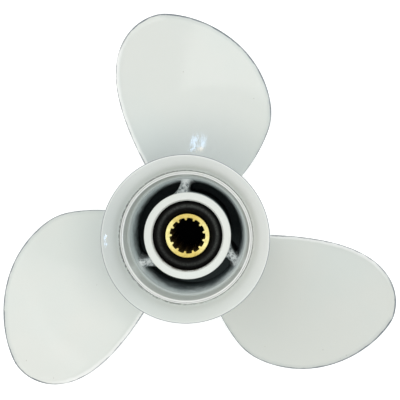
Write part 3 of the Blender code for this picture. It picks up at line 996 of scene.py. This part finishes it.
def blade_ring(radius, base_angle, edges):
    """The section at a radius as points in space, and their distances to both edges.

    It is rounded at its edges, cupped at the trailing edge and widened by the root fillet.
    """
    slope = math.hypot(radius, LEAD)
    start, end = (float(a) for a in outline_angles(radius))
    chord = (end - start) * slope
    along = chord_points(radius, start, end)
    angles = start + along / slope
    to_leading = distance_to(edges[0], radius, angles, slope)
    to_trailing = distance_to(edges[1], radius, angles, slope)
    to_leading[0] = to_trailing[-1] = 0.0
    to_edge = np.minimum(to_leading, to_trailing / TRAILING_ROUND)
    inset = np.clip(EDGE_RADIUS - to_edge, 0, EDGE_RADIUS)
    half = np.sqrt(np.maximum(EDGE_RADIUS**2 - inset**2, 0.0))
    bulge = max(section_thickness(radius) - 2 * EDGE_RADIUS, 0.0)
    to_tip = np.clip((PROP_RADIUS - radius) / (6 * EDGE_RADIUS), 0, 1)
    bulge *= to_tip * (2 - to_tip)
    camber = bulge * np.sin(math.pi * np.clip(along / chord, 0, 1)) ** CAMBER_POWER
    into_cup = np.clip((CUP_WIDTH - to_trailing) / CUP_WIDTH, 0, 1)
    cup = CUP_HEIGHT * into_cup**2 * min(chord / (6 * CUP_WIDTH), 1.0)
    near = np.stack([along, cup - EDGE_RADIUS + half], 1)
    far = np.stack([along, cup - EDGE_RADIUS - half - camber], 1)[1:-1][::-1]
    loop = np.concatenate([near, far])
    growth = fillet_growth(radius - BARREL_RADIUS, BLADE_FILLET)
    if growth:
        tangent = np.roll(loop, -1, 0) - np.roll(loop, 1, 0)
        tangent /= np.linalg.norm(tangent, axis=1)[:, None]
        loop = loop + np.stack([-tangent[:, 1], tangent[:, 0]], 1) * growth
    turn = start + loop[:, 0] / slope
    angle = base_angle + turn - loop[:, 1] * LEAD / (radius * slope)
    z = BLADE_REFERENCE_Z + LEAD * turn + loop[:, 1] * radius / slope
    ring = [(radius * math.cos(a), radius * math.sin(a), h) for a, h in zip(angle, z)]
    gaps = [np.concatenate([gap, gap[1:-1][::-1]]) for gap in (to_leading, to_trailing)]
    return ring, gaps


def make_blade(index, paint):
    """A blade lofted from its root fillet to its tip, with each point's distance to both edges."""
    base_angle = BLADE_PHASE + 2 * math.pi * index / BLADE_COUNT
    edges = (edge_polyline(0), edge_polyline(1))
    fillet_steps, span_steps, tip_steps = 14, 60, 9
    radii = [BARREL_RADIUS - BLADE_OVERLAP]
    for k in range(fillet_steps + 1):
        bend = math.pi / 2 * k / fillet_steps
        radii.append(BARREL_RADIUS + BLADE_FILLET * (1 - math.cos(bend)))
    blade_start = radii[-1]
    last = PROP_RADIUS - EDGE_RADIUS
    for k in range(1, span_steps + 1):
        bend = math.pi / 2 * k / span_steps
        radii.append(blade_start + (last - blade_start) * math.sin(bend))
    for k in range(1, tip_steps + 1):
        bend = math.pi / 2 * k / tip_steps
        radii.append(last + EDGE_RADIUS * math.sin(bend) * 0.999)
    rings, gaps = zip(*(blade_ring(radius, base_angle, edges) for radius in radii))
    values = {
        "to_leading": np.concatenate([gap[0] for gap in gaps]),
        "to_trailing": np.concatenate([gap[1] for gap in gaps]),
    }
    return loft(f"blade_body_{index + 1}", rings, [paint], values)


# The object


def attach(piece, body, slot, *nodes):
    """Puts a piece on a body, in place of CAD nodes.
    The slot argument is not used.
    """
    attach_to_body(piece, body)
    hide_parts(*nodes)


edge_paint = blade_paint()
passage = passage_paint()
casting = rough_casting()

attach(make_barrel(barrel_paint(), passage), "casting", "gloss_paint", "outer_barrel")
attach(make_ring(ring_paint()), "casting", "gloss_paint", "diffuser_ring")
attach(make_hub(hub_face_paint(), passage), "casting", "gloss_paint", "inner_barrel")
for i in range(BLADE_COUNT):
    attach(make_rib(i, casting), "casting", "rough_casting", f"rib_{i + 1}")
    attach(make_blade(i, edge_paint), "casting", "gloss_paint", f"blade_{i + 1}")
attach(make_bush(bush_rubber()), "cushion", "bush_rubber", "rubber_bush")
attach(make_sleeve(sleeve_brass()), "shaft_sleeve", "sleeve_brass", "splined_sleeve")


# The studio


def lay_down(name, outline, z, material):
    """A flat sheet of the studio with the given outline, lying at a height."""
    mesh = bpy.data.meshes.new(name)
    mesh.from_pydata([(x, y, 0) for x, y in outline], [], [tuple(range(len(outline)))])
    mesh.materials.append(material)
    sheet = bpy.data.objects.new(name, mesh)
    sheet.location.z = z
    bpy.context.scene.collection.objects.link(sheet)


def make_floor():
    """A wide white floor that glows a little, so it stays white round the part's soft shadow."""
    nodes = Nodes("floor_white")
    shade = nodes.ramp(nodes.noise(3.0, 2.0), 0.3, 0.7, 0.985, 1.0)
    tint = nodes.mix(shade, (0.0, 0.0, 0.0), (0.95, 0.95, 0.95))
    nodes.set(Base_Color=tint, Roughness=0.8, Specular_IOR_Level=0.2)
    nodes.set(Emission_Color=(1.0, 1.0, 1.0), Emission_Strength=0.36)
    half = FLOOR_HALF
    outline = [(-half, -half), (half, -half), (half, half), (-half, half)]
    lay_down("floor", outline, FLOOR_Z, nodes.material)


def make_dark_pad():
    """A round dark sheet under the hub, put there as painted shade for the exhaust passage and the
    bore; it glows a little, more on one side, as painted light.
    """
    nodes = Nodes("passage_shade_pad")
    radius, _, angle = nodes.place()
    pad_grain = nodes.noise(700.0, 3.0)
    outer = nodes.mix(pad_grain, (0.07, 0.09, 0.10), (0.12, 0.15, 0.16))
    # Black under the bore and dark round it, as painted shade.
    off_bore = nodes.ramp(radius, 0.020, 0.028)
    colour = nodes.mix(off_bore, (0.003, 0.003, 0.003), outer)
    # A faint glow, stronger on one side, as painted light.
    glow_side = nodes.towards(angle, PAD_GLOW_SIDE)
    glow = nodes.times(off_bore, nodes.ramp(glow_side, 0.0, 0.9, 0.08, 1.0))
    glow = nodes.mix(glow, (0.0, 0.0, 0.0), (0.70, 0.90, 0.90))
    nodes.set(Base_Color=colour, Roughness=0.9, Specular_IOR_Level=0.2)
    nodes.set(Emission_Color=glow, Emission_Strength=0.018)
    steps = [2 * math.pi * i / 64 for i in range(64)]
    outline = [(PAD_RADIUS * math.cos(a), PAD_RADIUS * math.sin(a)) for a in steps]
    lay_down("pad", outline, PAD_Z, nodes.material)


def area_light(name, location, size, power, colour, target):
    light = bpy.data.lights.new(name, "AREA")
    light.shape = "RECTANGLE"
    light.size, light.size_y = size
    light.energy = power
    light.color = colour
    obj = bpy.data.objects.new(name, light)
    obj.location = location
    direction = Vector(target) - Vector(location)
    obj.rotation_euler = direction.to_track_quat("-Z", "Y").to_euler()
    obj.visible_camera = False
    bpy.context.scene.collection.objects.link(obj)


def make_lights():
    """An even dome, a softbox overhead, a soft fill on the left, and a panel on the right.

    Three small lamps on the right, two bluish and one warm, make the narrow glints on blade_1 and
    the flare.
    """
    world = bpy.data.worlds.new("studio")
    bpy.context.scene.world = world
    world.use_nodes = True
    background = world.node_tree.nodes["Background"]
    background.inputs["Color"].default_value = (0.97, 1.0, 0.99, 1.0)
    background.inputs["Strength"].default_value = 0.46
    soft = (
        ("overhead", (-0.18, 0.25, 1.75), (2.4, 2.4), 19.0, (1.0, 1.0, 0.985)),
        ("fill", (-1.20, 0.95, 1.05), (1.2, 0.8), 2.5, (1.0, 0.95, 0.96)),
        ("panel", (0.99, -0.14, 1.14), (0.75, 0.42), 1.6, (1.0, 1.0, 0.97)),
    )
    bluish, warm = (0.45, 0.68, 1.0), (1.0, 0.82, 0.62)
    lamps = (
        ("lamp_a", (1.14, -0.010, 0.325), (0.062, 0.18), 0.46, bluish),
        ("lamp_b", (1.14, -0.118, 0.340), (0.062, 0.13), 0.33, bluish),
        ("lamp_c", (1.14, -0.110, 0.245), (0.062, 0.05), 0.13, warm),
    )
    for light in soft:
        area_light(*light, ABOVE_HUB)
    for light in lamps:
        area_light(*light, GLINT_PLACE)


def make_camera():
    """A long lens above the aft end, a little up and to the right of the axis."""
    camera = bpy.data.cameras.new("camera")
    camera.sensor_width = 36.0
    camera.lens = CAMERA_LENS
    obj = bpy.data.objects.new("camera", camera)
    forward = Vector(CAMERA_FORWARD).normalized()
    right = forward.cross(Vector(CAMERA_UP)).normalized()
    turn = Matrix((right, right.cross(forward), -forward)).transposed().to_4x4()
    obj.matrix_world = Matrix.Translation(CAMERA_PLACE) @ turn
    bpy.context.scene.collection.objects.link(obj)
    bpy.context.scene.camera = obj


make_floor()
make_dark_pad()
make_lights()
make_camera()
bpy.context.scene.view_settings.view_transform = "Standard"
